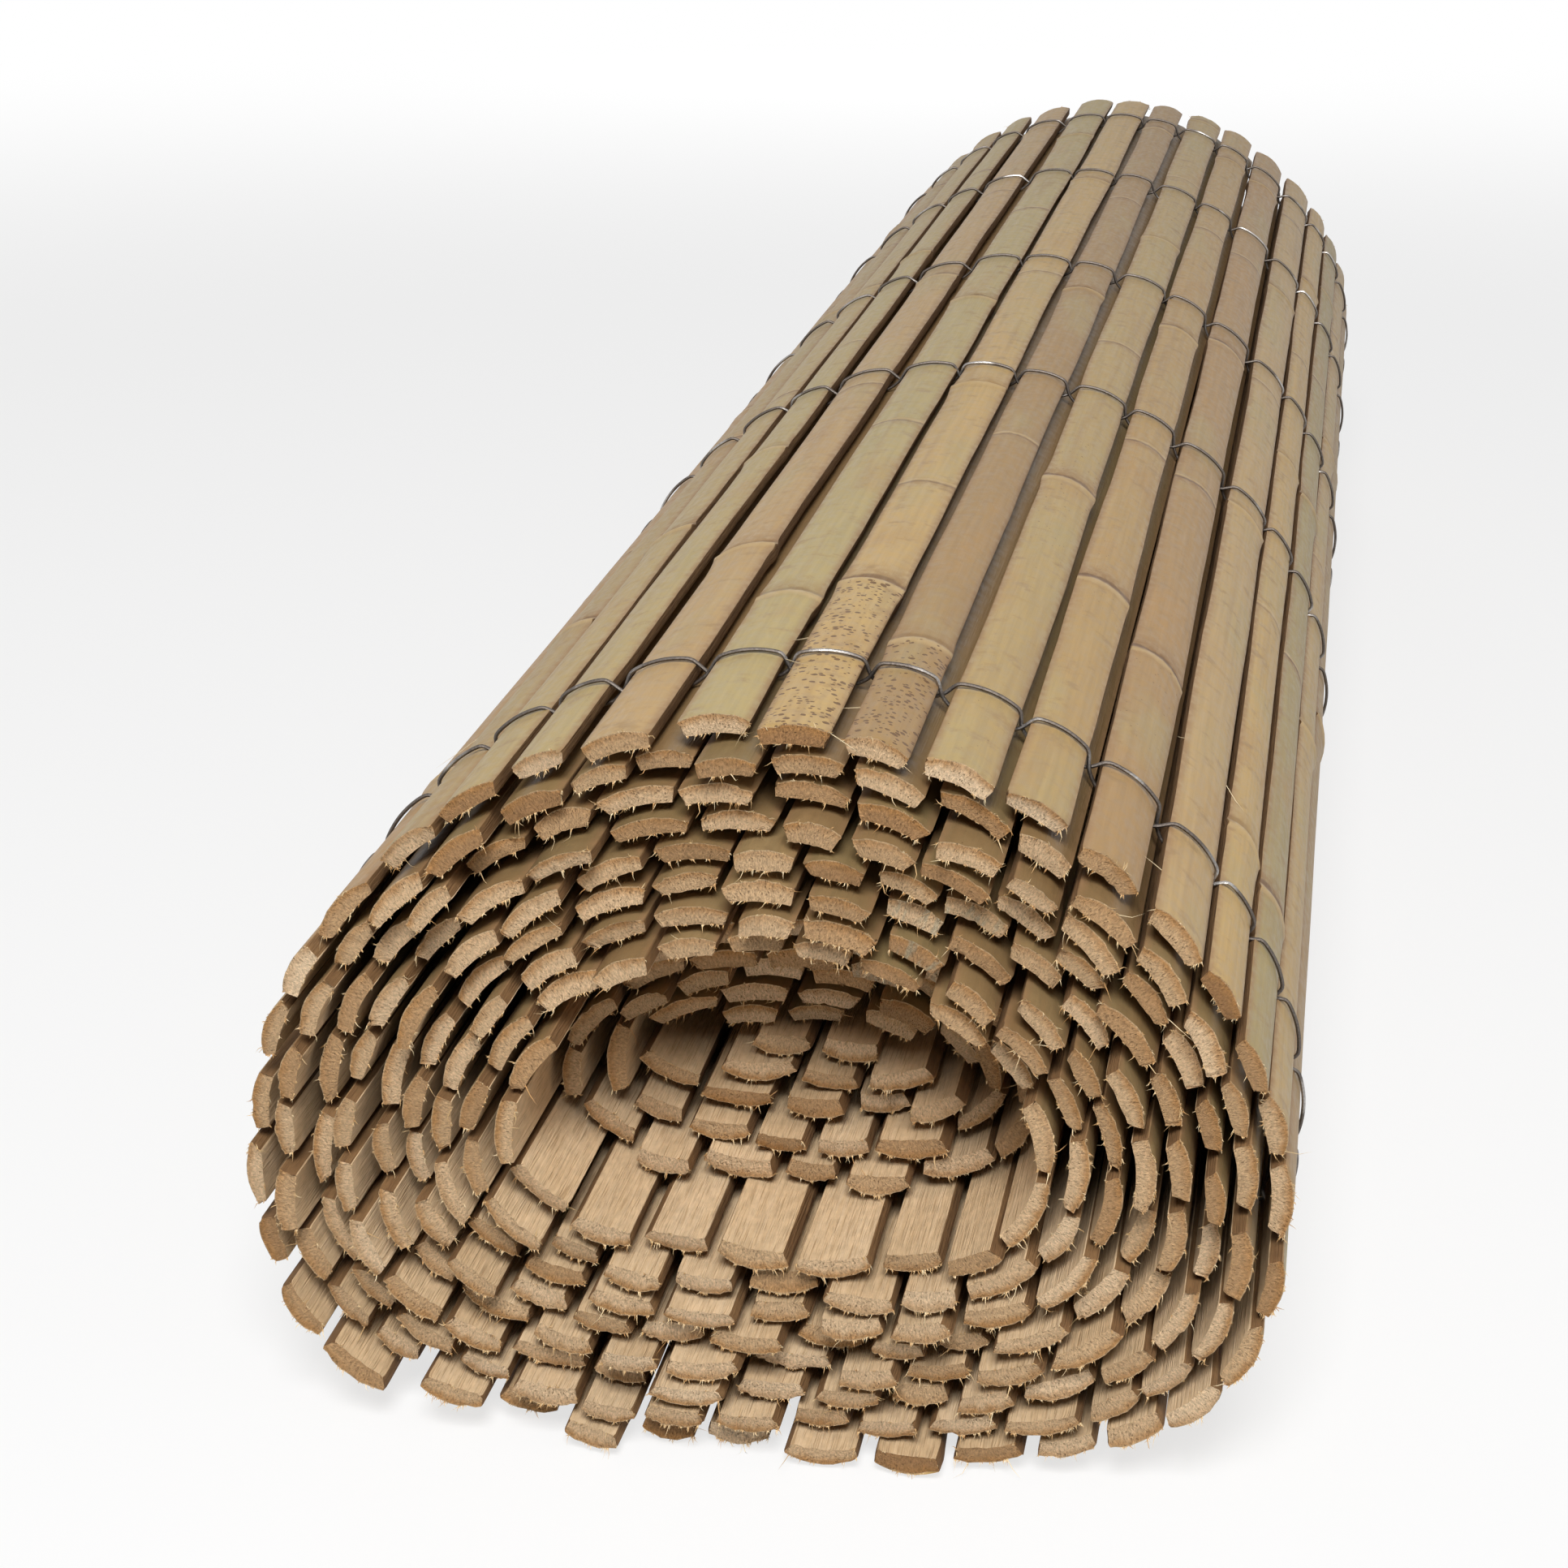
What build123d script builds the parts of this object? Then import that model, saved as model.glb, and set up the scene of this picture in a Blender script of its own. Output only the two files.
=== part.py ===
from build123d import *
import os
import random
from math import asin, atan2, copysign, cos, degrees, hypot, pi, sin, tan

os.makedirs("parts", exist_ok=True)

# A bamboo screening mat, rolled up and lying on its side. Sizes are in millimetres.
# The roll's axis runs along Y, its near end faces -Y and it lies on the floor at Z = 0.

# The slats: lengths of cane split along the grain, rind on the outside
slat_count = 285
slat_length = 1000.0
slat_width = 15.2
width_spread = 2.6
slat_thickness = 4.8
thickness_spread = 0.35
cane_radius = 30.0

# The spaces the binding wire leaves between the nearest corners of one slat and the next,
# and how much wider they may be in the outside turn
side_gap = 0.55
gap_spread = 0.25
open_gap = 3.6
outer_count = 37

# The wound shape: a slumped oval, flat underneath, that grows by these steps with every turn
core_half_width = 26.4
tuck_turns = 2.0
tuck_per_turn = 1.3
core_rise = 3.3
core_drop = 1.2
side_clearance = 2.01
top_clearance = 1.79
bottom_clearance = 1.36
slump_per_turn = 1.0
underside_power = 2.5
pressed_share = 0.985
inner_end_turn = -0.321
ring_turn = 4.4
seen_turn = 0.995
search_step = 0.004

# How far the slats' sawn ends are out of line, and how deep the core has slid back
end_stagger = 5.0
end_lean = 0.06
core_recess = 27.0
recess_per_turn = 4.5

# The binding wire and its rows: how far the first is from the near end, how far apart the next
# ones are, and how far the last is from the far end
wire_diameter = 1.1
first_row = 55.0
second_row_step = 315.0
third_row_step = 193.0
fourth_row_step = 211.0
last_row_margin = 52.0
wire_ease = 0.25
wire_play = 0.05

# Where the rows come along the slats
second_row = first_row + second_row_step
third_row = second_row + third_row_step
fourth_row = third_row + fourth_row_step
wire_rows = (first_row, second_row, third_row, fourth_row, slat_length - last_row_margin)

# The section's rise over its own width, and the room one turn takes
mean_rise = slat_width**2 / (8 * (cane_radius - slat_thickness / 2))
turn_depth = slat_thickness + thickness_spread
side_step = turn_depth + side_clearance
top_step = turn_depth + top_clearance
bottom_step = turn_depth + bottom_clearance
crown_height = slat_thickness / 2 + mean_rise


def wound_point(turn):
    """Middle of the mat's thickness that many turns out from the core: an oval that widens as it
    goes round, its sides slumped down and its underside squarer and pressed flat."""
    angle = 2 * pi * turn
    half_width = core_half_width + side_step * turn - tuck_per_turn * max(tuck_turns - turn, 0)
    slump = slump_per_turn * turn * cos(angle) ** 2
    if sin(angle) >= 0:
        return half_width * cos(angle), (core_rise + top_step * turn) * sin(angle) - slump
    power = 2 / underside_power
    lowest_turn = round(turn - 0.75) + 0.75
    pressed_level = -(core_drop + bottom_step * lowest_turn) * pressed_share
    x = half_width * copysign(abs(cos(angle)) ** power, cos(angle))
    z = -(core_drop + bottom_step * turn) * abs(sin(angle)) ** power - slump
    return x, max(z, pressed_level)


def turn_after(turn, distance):
    """Follow the winding outwards until it is the given distance away in a straight line."""
    x0, z0 = wound_point(turn)
    low = turn
    high = turn + search_step
    while hypot(wound_point(high)[0] - x0, wound_point(high)[1] - z0) < distance:
        low = high
        high += search_step
    for halving in range(30):
        middle = (low + high) / 2
        x, z = wound_point(middle)
        if hypot(x - x0, z - z0) < distance:
            low = middle
        else:
            high = middle
    return high


def bow(start, end):
    """Farthest the winding strays from the straight line between two of its points."""
    x0, z0 = wound_point(start)
    x1, z1 = wound_point(end)
    span = hypot(x1 - x0, z1 - z0)
    strays = []
    for tenth in range(1, 10):
        x, z = wound_point(start + (end - start) * tenth / 10)
        strays.append(abs((x - x0) * (z1 - z0) - (z - z0) * (x1 - x0)) / span)
    return max(strays)


class Slat:
    """One slat's place in the roll: where its middle is, which way it faces and how big it is."""

    def __init__(self, start, width, thickness, end_shift):
        self.start = start
        self.end = turn_after(start, width)
        self.width = width
        self.thickness = thickness
        self.near_end = end_shift
        x0, z0 = wound_point(self.start)
        x1, z1 = wound_point(self.end)
        self.heading = atan2(z1 - z0, x1 - x0)
        self.along = (cos(self.heading), sin(self.heading))
        self.outward = (sin(self.heading), -cos(self.heading))
        self.middle_radius = cane_radius - thickness / 2
        self.half_angle = asin(width / 2 / self.middle_radius)
        self.rise = self.middle_radius * (1 - cos(self.half_angle))
        # All the rinds lie on one line, so a thin slat sits a little further out
        lift = crown_height - (thickness / 2 + self.rise)
        self.x = (x0 + x1) / 2 + lift * self.outward[0]
        self.z = (z0 + z1) / 2 + lift * self.outward[1]

    def at(self, across, out):
        """A point of the slat's section, from its middle, as the roll's x and z."""
        return (
            self.x + across * self.along[0] + out * self.outward[0],
            self.z + across * self.along[1] + out * self.outward[1],
        )

    def crown(self):
        return self.at(0, self.thickness / 2 + self.rise)

    def edge(self, side):
        """The outer corner at the slat's start (-1) or end (+1)."""
        across = side * cane_radius * sin(self.half_angle)
        out = cane_radius * cos(self.half_angle) - self.middle_radius + self.rise
        return self.at(across, out)

    def past_edge(self):
        """A point level with the outer corner at the slat's end and one wire's width beyond it."""
        across = cane_radius * sin(self.half_angle) + wire_diameter
        out = cane_radius * cos(self.half_angle) - self.middle_radius + self.rise
        return self.at(across, out)


# Lay the slats along the winding from the core outwards
chance = random.Random(7)
slats = []
turn = inner_end_turn
for number in range(slat_count):
    width = slat_width + width_spread * chance.uniform(-1, 1)
    thickness = slat_thickness + thickness_spread * chance.uniform(-1, 1)
    gap = side_gap + gap_spread * chance.uniform(-1, 1)
    stagger = end_stagger * chance.uniform(-1, 1)
    widening = open_gap * chance.random() ** 2
    if number > slat_count - outer_count:
        gap += widening
    if slats:
        turn = turn_after(slats[-1].end, gap)
    # No slat bridges a fold of the core that is tighter than the slat is wide
    while bow(turn, turn_after(turn, width)) > slat_thickness:
        turn += 0.01
    slat = Slat(turn, width, thickness, stagger)
    # The sides flare outwards, so on a straight run the outer corners come nearest,
    # and where the winding bends sharply the inner corners do
    if slats:
        bend = (slat.heading - slats[-1].heading) % (2 * pi)
        flare = slat_thickness * abs(sin(slat.half_angle) - tan(min(bend, 2.4) / 2))
        slat = Slat(turn_after(turn, flare), width, thickness, stagger)
    slats.append(slat)
for slat in slats:
    slat.near_end += end_lean * slat.z
    if slat.start < ring_turn:
        slat.near_end += core_recess + recess_per_turn * (ring_turn - slat.start)

# The last turn is the one that is seen; the slat after the mat's free end begins it
free_end = slats[-1].end
outer_turn = [slat for slat in slats if slat.start > free_end - seen_turn]
core = [slat for slat in slats if slat.start < ring_turn]
middle_turns = [slat for slat in slats if slat not in outer_turn and slat not in core]

# Set the roll down: middle of its width at X = 0, middle of its length at Y = 0, wires on Z = 0
corners = [slat.edge(side) for slat in outer_turn for side in (-1, 1)]
corners += [slat.crown() for slat in outer_turn]
shift_x = -(min(corner[0] for corner in corners) + max(corner[0] for corner in corners)) / 2
lowest_crown = min(slat.crown()[1] for slat in outer_turn)
shift_z = wire_diameter + wire_play - lowest_crown
near_most = min(slat.near_end for slat in slats)
far_most = max(slat.near_end for slat in slats) + slat_length
shift_y = -(near_most + far_most) / 2


def slat_plane(slat):
    """Sketch plane on a slat's near end: X along the mat, Y outwards to the rind, Z along the slat."""
    return Plane(
        origin=(slat.x + shift_x, slat.near_end + shift_y, slat.z + shift_z),
        x_dir=(slat.along[0], 0, slat.along[1]),
        z_dir=(0, 1, 0),
    )


# The slats, in the three lots a person sees: the core slid back inside the rest, the turns
# wound round it, and the outside turn with wider spaces between its slats
lots = (("core_slats", core), ("middle_turn_slats", middle_turns), ("outer_turn_slats", outer_turn))
for lot_name, lot in lots:
    with BuildPart() as slat_lot:
        for slat in lot:
            # Section of split cane: round rind, hollow pith side, sides that follow the cane's radii
            centre = (0, slat.rise - slat.middle_radius)
            first_angle = 90 - degrees(slat.half_angle)
            sweep = 2 * degrees(slat.half_angle)
            with BuildSketch(slat_plane(slat)):
                with BuildLine():
                    rind = CenterArc(centre, cane_radius, first_angle, sweep)
                    pith = CenterArc(centre, cane_radius - slat.thickness, first_angle, sweep)
                    Line(rind @ 0, pith @ 0)
                    Line(rind @ 1, pith @ 1)
                make_face()
        extrude(amount=slat_length, clean=False)
    slat_lot.part.label = lot_name
    export_step(slat_lot.part, f"parts/{lot_name}.step")


def is_pressed(slat):
    """Whether a slat of the outside turn lies so low that the wire under it is pressed straight."""
    return slat.crown()[1] < lowest_crown + wire_diameter


def wire_lift(slat, dip):
    """How far over the crown a wire must start to clear the rind on its straight way to a dip."""
    away = abs((dip[0] - slat.x) * slat.along[0] + (dip[1] - slat.z) * slat.along[1])
    out = (dip[0] - slat.x) * slat.outward[0] + (dip[1] - slat.z) * slat.outward[1]
    depth = slat.thickness / 2 + slat.rise - out
    lifts = [0]
    for tenth in range(1, 11):
        angle = slat.half_angle * tenth / 10
        share = cane_radius * sin(angle) / away
        fall = cane_radius * (1 - cos(angle))
        lifts.append((depth * share - fall) / (1 - share))
    return max(lifts)


# The wire dips into the gap before every slat of the outside turn, and once past the free end
dips = []
facings = []
covered = slats[slats.index(outer_turn[0]) - 1]
for before, after in zip([covered] + outer_turn, outer_turn + [None]):
    if after is None:
        dips.append(before.past_edge())
        facings.append(before.outward)
    else:
        start, end = before.edge(1), after.edge(-1)
        blend = (before.outward[0] + after.outward[0], before.outward[1] + after.outward[1])
        facing = (blend[0] / hypot(*blend), blend[1] / hypot(*blend))
        # The corners seldom stand equally far out, and the wire has to clear the prouder one
        uneven = (end[0] - start[0]) * facing[0] + (end[1] - start[1]) * facing[1]
        out = abs(uneven) / 2 + wire_ease
        middle = ((start[0] + end[0]) / 2, (start[1] + end[1]) / 2)
        dips.append((middle[0] + out * facing[0], middle[1] + out * facing[1]))
        facings.append(facing)

# Its course: down into every gap and up over every rind, but straight where it is pressed
inside = []
outside = []
for place, slat in enumerate(outer_turn):
    pressed = is_pressed(slat)
    pressed_before = place > 0 and is_pressed(outer_turn[place - 1])
    pressed_after = place + 1 < len(outer_turn) and is_pressed(outer_turn[place + 1])
    if not (pressed and pressed_before):
        dip, facing = dips[place], facings[place]
        inside.append(dip)
        outside.append((dip[0] + wire_diameter * facing[0], dip[1] + wire_diameter * facing[1]))
    if pressed:
        ends = [slat.edge(-1)] * (not pressed_before) + [slat.edge(1)] * (not pressed_after)
        for edge_x, edge_z in ends:
            inside.append((edge_x, lowest_crown - wire_play))
            outside.append((edge_x, lowest_crown - wire_play - wire_diameter))
    else:
        lift = max(wire_lift(slat, dips[place]), wire_lift(slat, dips[place + 1])) + wire_play
        top = slat.thickness / 2 + slat.rise + lift
        inside.append(slat.at(0, top))
        outside.append(slat.at(0, top + wire_diameter))
inside.append(dips[-1])
outside.append(
    (dips[-1][0] + wire_diameter * facings[-1][0], dips[-1][1] + wire_diameter * facings[-1][1])
)
wire_course = [(x + shift_x, z + shift_z) for x, z in inside + outside[::-1]]

# The five rows of binding wire
for row, distance in enumerate(wire_rows, 1):
    row_plane = Plane(origin=(0, distance + shift_y, 0), x_dir=(1, 0, 0), z_dir=(0, -1, 0))
    with BuildPart() as wire_row:
        with BuildSketch(row_plane):
            with BuildLine():
                Polyline(*wire_course, close=True)
            make_face()
        extrude(amount=wire_diameter / 2, both=True)
    wire_row.part.label = f"wire_row_{row}"
    export_step(wire_row.part, f"parts/wire_row_{row}.step")
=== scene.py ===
# %% [markdown]
# # A rolled-up bamboo screening mat
#
# The mat is nearly three hundred slats of split bamboo, bound side by side with rows of thin steel wire and
# rolled up. The solids already hold every slat and every row of wire in its place, so this lesson only
# dresses them: knots, worn edges, sawn ends with their fibres, round wire in place of square bands, and
# the four finishes that split cane has. Everything is in metres, in the solids' own frame.

import math

import bpy
import numpy as np
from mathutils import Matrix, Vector


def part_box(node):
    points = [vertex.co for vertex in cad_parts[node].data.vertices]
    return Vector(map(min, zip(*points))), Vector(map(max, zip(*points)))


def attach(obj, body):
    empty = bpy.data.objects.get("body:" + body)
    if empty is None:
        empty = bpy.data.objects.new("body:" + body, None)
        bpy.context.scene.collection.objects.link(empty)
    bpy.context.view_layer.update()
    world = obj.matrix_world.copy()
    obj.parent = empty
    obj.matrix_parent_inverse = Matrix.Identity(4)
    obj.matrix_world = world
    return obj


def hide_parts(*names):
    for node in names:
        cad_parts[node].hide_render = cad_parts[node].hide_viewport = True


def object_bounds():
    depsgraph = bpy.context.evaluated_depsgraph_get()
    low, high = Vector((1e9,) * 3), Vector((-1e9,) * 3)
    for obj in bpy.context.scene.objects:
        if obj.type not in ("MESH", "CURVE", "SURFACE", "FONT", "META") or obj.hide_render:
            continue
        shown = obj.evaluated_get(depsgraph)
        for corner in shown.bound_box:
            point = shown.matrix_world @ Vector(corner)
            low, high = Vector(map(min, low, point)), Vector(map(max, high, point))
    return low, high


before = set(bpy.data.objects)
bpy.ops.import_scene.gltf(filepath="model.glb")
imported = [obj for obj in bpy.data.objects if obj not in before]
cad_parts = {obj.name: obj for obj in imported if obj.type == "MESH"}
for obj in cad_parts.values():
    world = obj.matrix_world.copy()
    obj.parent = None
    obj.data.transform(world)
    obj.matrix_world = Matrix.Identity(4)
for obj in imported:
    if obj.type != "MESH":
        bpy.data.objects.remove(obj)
cad_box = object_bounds()
MM = 0.001
FLOOR_CLEARANCE = 0.05 * MM
chance = np.random.default_rng(21)
print("solids:", ", ".join(sorted(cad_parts)))

# %% [markdown]
# ## Reading the slats
#
# Each slat is a crescent of cane: rind outside, pith inside, two split sides. A slat could be drawn again
# from typed sizes, but then it could drift from its solid. Instead the sizes are read back from the solid:
# its triangles are sorted into separate slats, and the two long edges of each section are fitted with
# parabolas, which is all that the new surface needs.

# %% Sort a node's triangles into slats
def split_solids(node):
    """Corner points of each solid in a node, in the order the solids were made.

    Points in one place are merged. Then each triangle hands the lowest number among its corners to the
    other two, again and again until nothing changes, and each solid is left with one number."""
    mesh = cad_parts[node].data
    mesh.calc_loop_triangles()
    places = np.empty(3 * len(mesh.vertices), np.float32)
    mesh.vertices.foreach_get("co", places)
    corners = np.empty(3 * len(mesh.loop_triangles), np.int32)
    mesh.loop_triangles.foreach_get("vertices", corners)
    merged, first, same = np.unique(
        places.reshape(-1, 3).round(5), axis=0, return_index=True, return_inverse=True
    )
    corners = same.ravel()[corners].reshape(-1, 3)
    number, before = first.copy(), None
    while before is None or (number != before).any():
        before = number.copy()
        np.minimum.at(number, corners.ravel(), np.repeat(before[corners].min(axis=1), 3))
    return [merged[number == one].astype(float) for one in np.unique(number)]


def measure_slat(points):
    """One slat's place and section from its corner points.

    The section is the near end seen along Y. Its longer principal axis runs along the mat. The split sides
    flare out, so its two outermost corners belong to the rind, which tells outward from inward. Each long
    edge becomes a parabola in across: height is the crown less the fall times across squared."""
    near, far = points[:, 1].min(), points[:, 1].max()
    section = points[points[:, 1] < near + MM][:, (0, 2)]
    middle = section.mean(axis=0)
    along = np.linalg.eigh(np.cov((section - middle).T))[1][:, 1]
    outward = np.array((along[1], -along[0]))
    across, height = (section - middle) @ along, (section - middle) @ outward
    if height[[across.argmin(), across.argmax()]].mean() < 0:
        along, outward, across, height = -along, -outward, -across, -height
    on_rind = height > height[[across.argmin(), across.argmax()]].min() - 0.1 * MM
    fits = []
    for edge in (on_rind, ~on_rind):
        terms = np.stack((np.ones(edge.sum()), -across[edge] ** 2), axis=1)
        crown, fall = np.linalg.lstsq(terms, height[edge], rcond=None)[0]
        fits += [crown, fall, abs(across[edge]).max()]
    return near, far, middle, along, outward, *fits


FIELDS = ("near", "far", "middle", "along", "outward")
FIELDS += ("rind_crown", "rind_fall", "rind_half", "pith_crown", "pith_fall", "pith_half")


def measure_lot(node):
    """All slats of a node as arrays, one entry a slat."""
    rows = [measure_slat(points) for points in split_solids(node)]
    return {field: np.array([row[place] for row in rows]) for place, field in enumerate(FIELDS)}


LOTS = {name: measure_lot(name + "_slats") for name in ("core", "middle_turn", "outer_turn")}
for name, lot in LOTS.items():
    widths = 2 * lot["rind_half"] / MM
    print(f"{name}: {len(widths)} slats, {widths.min():.1f} to {widths.max():.1f} mm wide")

# %% [markdown]
# ## The surface of a slat
#
# A slat is a section carried along a straight line. The section is a small grid: across from one split
# side to the other, and depth from pith to rind. The grid's rim is swept along the slat to make its four
# long faces, and the whole grid closes each end, so a slat is one closed skin of four-sided faces with no
# pole. Knots, bends and trimmed edges are added as smooth functions of the place along the slat, because
# bamboo has no two slats alike and a bump texture would not change their outline.

# %% The section grid and its rim
OUTER_GRID = (11, 4)
INNER_GRID = (17, 4)


def section_grid(columns, rows):
    """Across and depth of the grid's points, and the rim's order.

    Across is the sine of even steps, so points crowd towards the split sides. Depth is half of one less the
    cosine of even steps, so they crowd towards rind and pith. Each corner is drawn in halfway towards the
    line between its neighbours, which breaks the sharp edge."""
    across = np.sin(np.linspace(-np.pi / 2, np.pi / 2, columns))
    depth = (1 - np.cos(np.linspace(0, np.pi, rows))) / 2
    grid = np.stack(np.meshgrid(across, depth, indexing="ij"), axis=-1)
    for column, next_column in ((0, 1), (-1, -2)):
        for row, next_row in ((0, 1), (-1, -2)):
            between = (grid[next_column, row] + grid[column, next_row]) / 2
            grid[column, row] = (grid[column, row] + between) / 2
    place = np.arange(columns * rows).reshape(columns, rows)
    rim = np.concatenate((place[:-1, -1], place[-1, :0:-1], place[:0:-1, 0], place[0, :-1]))
    kinds = np.repeat((0, 1, 2, 1), (columns - 1, rows - 1, columns - 1, rows - 1))
    return grid.reshape(-1, 2), place, rim, kinds


def wander(y, *waves):
    """A smooth random line for each slat: the mean of sine waves of these lengths, with random phases."""
    phases = chance.uniform(0, 2 * np.pi, (len(waves), len(y), 1))
    return np.mean([np.sin(2 * np.pi * y / wave + phase) for wave, phase in zip(waves, phases)], axis=0)


print("points round the rim of a section:", len(section_grid(*OUTER_GRID)[2]))

# %% Where the knots are, and what one does to the rind
KNOTS = 3
KNOT_SPACING = 385 * MM
KNOT_PLAY = 35
NEAR_WIRE, CLEAR_OF_WIRE = 16 * MM, 18 * MM
SWELLING, RIDGE, GROOVE = (0.4, 0, 11), (0.45, 0, 1.6), (-0.45, 3.8, 1.2)
WIRE_ROWS = [float(sum(corner[1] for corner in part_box(f"wire_row_{row}")) / 2) for row in range(1, 6)]


def bell(distance, reach):
    """A bell curve: one at no distance, and a little over a third at the reach."""
    return np.exp(-((distance / reach) ** 2))


def knot_places(lot):
    """Distances of a slat's knots from its near end: evenly spaced with some play from a random start,
    and moved clear of the wire rows, where a knot would push the wire up."""
    count = len(lot["near"])
    places = KNOT_SPACING * (np.arange(KNOTS) + chance.uniform(0, 0.9, (count, 1)))
    places += chance.uniform(-KNOT_PLAY, KNOT_PLAY, (count, KNOTS)) * MM
    for row in WIRE_ROWS:
        off = places + lot["near"][:, None] - row
        places += np.where(abs(off) < NEAR_WIRE, np.where(off < 0, -CLEAR_OF_WIRE, CLEAR_OF_WIRE), 0)
    return places


def knot_swell(past):
    """Height of the rind round a knot, by the distance past it: a broad low swelling, a narrow ridge on it,
    and a groove just beyond. Each is a bell curve of a height, a place and a width in millimetres."""
    parts = (SWELLING, RIDGE, GROOVE)
    return sum(height * bell(past - middle * MM, width * MM) for height, middle, width in parts) * MM


print("wire rows at", [round(row, 3) for row in WIRE_ROWS])

# %% Sweep the section along every slat of a lot
def hand_split(count, turned):
    """What the knife does to each slat, always by taking wood away: how much is pared off the pith, how far
    the rind drops towards either side, how far the pith is flattened, how far either side slants, and a
    slight turn in its seat by this many degrees."""
    return {
        "pare": chance.uniform(0.0, 0.35, count) * MM,
        "shoulder": chance.uniform(0.35, 1.35, (2, count)) * MM,
        "flatten": chance.uniform(0.0, 0.75, count) * MM,
        "slant": np.clip(chance.exponential(0.35, (2, count)), 0, 1.3) * MM
        * chance.choice((-1, 1), (2, count)),
        "turned": np.radians(chance.normal(0, turned, count)),
    }


def slat_points(lot, spot, y, trim, sway, lift, lean, bow, pare, shoulder, flatten, slant, turned):
    """Points of slats, for sections of spots (across, depth) at distances y from the near end.

    A spot's place across is its share of the half width, less the trim and slant on its side, plus the
    sway. A slant takes wood off the rind's corner where it is positive and off the pith's where it is
    negative. The height is the mix, by depth, of the pith's parabola and the rind's. The rind also gets the
    lift and drops by the shoulder times across squared; the pith rises by what is pared off and by the
    flattening times across squared. The section is turned a little about its middle. At last each point
    goes along the slat by the lean times across and the bow times across squared, so that knots do not run
    square across."""
    own = lambda values: np.asarray(values)[:, None, None]
    share, depth = spot[..., 0], spot[..., 1]
    left = share < 0
    side = np.where(left, trim[0][..., None], trim[1][..., None])
    slope = np.where(left, own(slant[0]), own(slant[1]))
    side = side + np.maximum(slope, 0) * depth + np.maximum(-slope, 0) * (1 - depth)
    pith_across = share * (own(lot["pith_half"]) - side)
    rind_across = share * (own(lot["rind_half"]) - side)
    pith = own(lot["pith_crown"] + pare) - own(lot["pith_fall"]) * pith_across**2 + own(flatten) * share**2
    rind = own(lot["rind_crown"]) - own(lot["rind_fall"]) * rind_across**2 + lift[..., None]
    rind = rind - np.where(left, own(shoulder[0]), own(shoulder[1])) * share**2
    across = pith_across + (rind_across - pith_across) * depth
    height = pith + (rind - pith) * depth
    across, height = (
        across * np.cos(own(turned)) - height * np.sin(own(turned)) + sway[..., None],
        across * np.sin(own(turned)) + height * np.cos(own(turned)),
    )
    flat = own(lot["middle"]) + across[..., None] * own(lot["along"])
    flat = flat + height[..., None] * own(lot["outward"])
    length = own(lot["near"]) + y[..., None] + lean[..., None] * share + bow[..., None] * share**2
    return np.stack((flat[..., 0], length, flat[..., 1]), axis=-1), across, height


def saw_slant(across, height):
    """How far a sawn end is out of square, by the place on it: a tilt each way and some roughness."""
    count = len(across)
    tilt = chance.normal(0, 0.06, (count, 1, 1))
    lean = chance.normal(0, 0.17, (count, 1, 1))
    roughness = chance.normal(0, 0.2 * MM, across.shape)
    return tilt * across + lean * height + roughness


def fray(rims):
    """Chip the edge of sawn ends: each rim point goes towards the end's middle by a small random share."""
    middle = rims.mean(axis=1, keepdims=True)
    share = chance.gamma(0.9, 0.028, (*rims.shape[:2], 1))
    return rims + (middle - rims) * share


# %% Put a mesh together from arrays
SHARP_ANGLE = math.radians(38)


def make_piece(name, points, faces, kinds=None, grain=None, marks=None):
    """A mesh object from whole arrays: points, faces of equal corner count, a material number a face,
    a grain map with one place a face corner, and named marks with one value a point."""
    mesh = bpy.data.meshes.new(name)
    mesh.vertices.add(len(points))
    mesh.vertices.foreach_set("co", points.astype(np.float32).ravel())
    mesh.loops.add(faces.size)
    mesh.loops.foreach_set("vertex_index", faces.astype(np.int32).ravel())
    mesh.polygons.add(len(faces))
    mesh.polygons.foreach_set("loop_start", np.arange(0, faces.size, faces.shape[1], dtype=np.int32))
    if kinds is not None:
        mesh.polygons.foreach_set("material_index", kinds.astype(np.int32))
    mesh.update(calc_edges=True)
    if grain is not None:
        mesh.uv_layers.new(name="grain").data.foreach_set("uv", grain.astype(np.float32).ravel())
    for mark, values in (marks or {}).items():
        layer = mesh.attributes.new(mark, "FLOAT", "POINT")
        layer.data.foreach_set("value", values.astype(np.float32).ravel())
    mesh.shade_smooth()
    mesh.set_sharp_from_angle(angle=SHARP_ANGLE)
    piece = bpy.data.objects.new(name, mesh)
    bpy.context.scene.collection.objects.link(piece)
    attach(piece, "root")
    return piece


# %% Build a lot of slats
SAWN_END = 3
GRAIN_SIZE = np.array((7.5, 2.4)) * MM
GRAIN_SPREAD = 3.0


def grid_cells(grid):
    """Corners of the four-sided cells of a grid."""
    return np.stack((grid[:-1, :-1], grid[:-1, 1:], grid[1:, 1:], grid[1:, :-1]), axis=-1).reshape(-1, 4)


def slat_faces(rings, place, rim):
    """Corner numbers of one slat's faces: the swept rim ring by ring, then the grid at either end."""
    around = len(rim)
    ring, spot = np.meshgrid(np.arange(rings - 1), np.arange(around), indexing="ij")
    after = (spot + 1) % around
    swept = np.stack((ring * around + spot, (ring + 1) * around + spot,
                      (ring + 1) * around + after, ring * around + after), axis=-1).reshape(-1, 4)
    ends, start = [], rings * around
    for first_ring, turned in ((0, False), (rings - 1, True)):
        number = np.empty(place.size, int)
        number[rim] = first_ring * around + np.arange(around)
        inner = np.setdiff1d(place, rim)
        number[inner] = start + np.arange(len(inner))
        start += len(inner)
        cells = grid_cells(number[place])
        ends.append(cells[:, ::-1] if turned else cells)
    return swept, ends, start


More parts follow.
